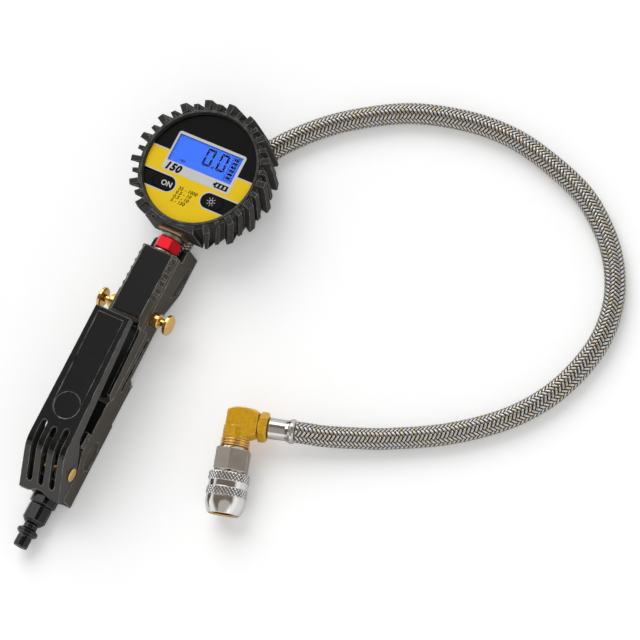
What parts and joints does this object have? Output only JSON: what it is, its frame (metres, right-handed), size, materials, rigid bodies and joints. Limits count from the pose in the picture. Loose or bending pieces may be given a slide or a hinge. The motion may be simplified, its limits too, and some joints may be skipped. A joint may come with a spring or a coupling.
{
  "type": "tyre inflator with gauge",
  "caption": "Squeeze-lever tyre inflator with a digital gauge in a rubber tread boot, an air inlet plug, a bleed button and a braided hose that ends in a lock-on chuck.",
  "frame": {"origin": "on the table plane, under the middle of the rigid inflator without its hose", "axes": "+Y from the air inlet to the gauge, +Z out of the gauge's face, lying on its back"},
  "size_m": [0.2864, 0.3247, 0.0462],
  "materials": {
    "coating": "matt black coating, fine texture",
    "black_plastic": "satin black",
    "black_steel": "black oxide, oiled",
    "boot_rubber": "moulded, matt",
    "seal_rubber": "smooth",
    "brass": "polished",
    "red_nut": "red anodised",
    "steel": "plain",
    "chrome": "bright plated",
    "braid": "woven stainless braid",
    "clear": "clear",
    "lcd": "backlit blue",
    "board": "green laminate",
    "label": "printed label, yellow and black",
    "cell": "wrapped cell",
    "white": "diffuser"
  },
  "bodies": {
    "handle": {"main_body": "coating", "front_cover": "coating", "cover_screw_upper": "black_steel", "cover_screw_lower": "black_steel", "inlet_adapter": "black_steel", "inlet_plug": "black_steel", "inlet_filter": "brass", "valve_seat": "brass", "plunger_bush": "brass", "plunger_seal": "seal_rubber", "poppet_spring": "steel", "lever_pin": "brass", "lever_spring": "steel", "bleed_barrel_left": "brass", "bleed_barrel_right": "brass", "nut_washer": "steel", "gauge_nut": "red_nut", "gauge_stem": "steel", "gauge_socket": "brass", "pressure_sensor": "steel", "gauge_case": "black_plastic", "gauge_front": "label", "display_lens": "clear", "lcd_panel": "lcd", "backlight": "white", "circuit_board": "board", "power_switch": "steel", "light_switch": "steel", "battery_cell_upper": "cell", "battery_cell_lower": "cell", "battery_contact_left": "steel", "battery_contact_right": "steel", "battery_door": "black_plastic", "door_screw": "steel", "gauge_boot": "boot_rubber", "hose_ferrule_handle": "chrome", "hose": "braid", "hose_ferrule_chuck": "chrome", "hose_nut": "brass", "elbow": "brass", "chuck_body": "chrome", "sleeve_spring": "steel", "chuck_seal": "seal_rubber", "valve_depressor": "brass", "jaw_ring": "brass"},
    "lever": {"lever": "black_plastic"},
    "valve_plunger": {"plunger": "brass", "poppet": "seal_rubber"},
    "bleed_spool": {"bleed_spool": "brass", "spool_seal": "seal_rubber", "bleed_button_left": "brass", "bleed_button_right": "brass", "bleed_spring_left": "steel", "bleed_spring_right": "steel"},
    "power_key": {"power_key": "black_plastic"},
    "light_key": {"light_key": "black_plastic"},
    "chuck_sleeve": {"chuck_sleeve": "chrome"}
  },
  "joints": [
    {"name": "lever_hinge", "type": "hinge", "parent": "handle", "child": "lever", "pos_m": [0, -0.0882, 0.021], "axis": [-1, 0, 0], "range_deg": [0, 7], "stiffness_Nm_per_rad": 0.6, "springref_deg": -20.05},
    {"name": "plunger_slide", "type": "slide", "parent": "handle", "child": "valve_plunger", "axis": [0, 0, -1], "range_m": [0, 0.0026], "deforming": ["poppet_spring"]},
    {"name": "bleed_slide", "type": "slide", "parent": "handle", "child": "bleed_spool", "axis": [1, 0, 0], "range_m": [-0.003, 0.003], "stiffness_N_per_m": 600},
    {"name": "power_key_press", "type": "slide", "parent": "handle", "child": "power_key", "axis": [0, 0, -1], "range_m": [0, 0.0005], "stiffness_N_per_m": 1500, "springref_m": -0.0003},
    {"name": "light_key_press", "type": "slide", "parent": "handle", "child": "light_key", "axis": [0, 0, -1], "range_m": [0, 0.0005], "stiffness_N_per_m": 1500, "springref_m": -0.0003},
    {"name": "sleeve_slide", "type": "slide", "parent": "handle", "child": "chuck_sleeve", "axis": [0.2771, -0.9531, -0.1219], "range_m": [0, 0.004], "stiffness_N_per_m": 800, "springref_m": -0.002}
  ],
  "couplings": [
    {"joint": "plunger_slide", "follows": "lever_hinge", "m_per_rad": 0.021}
  ]
}
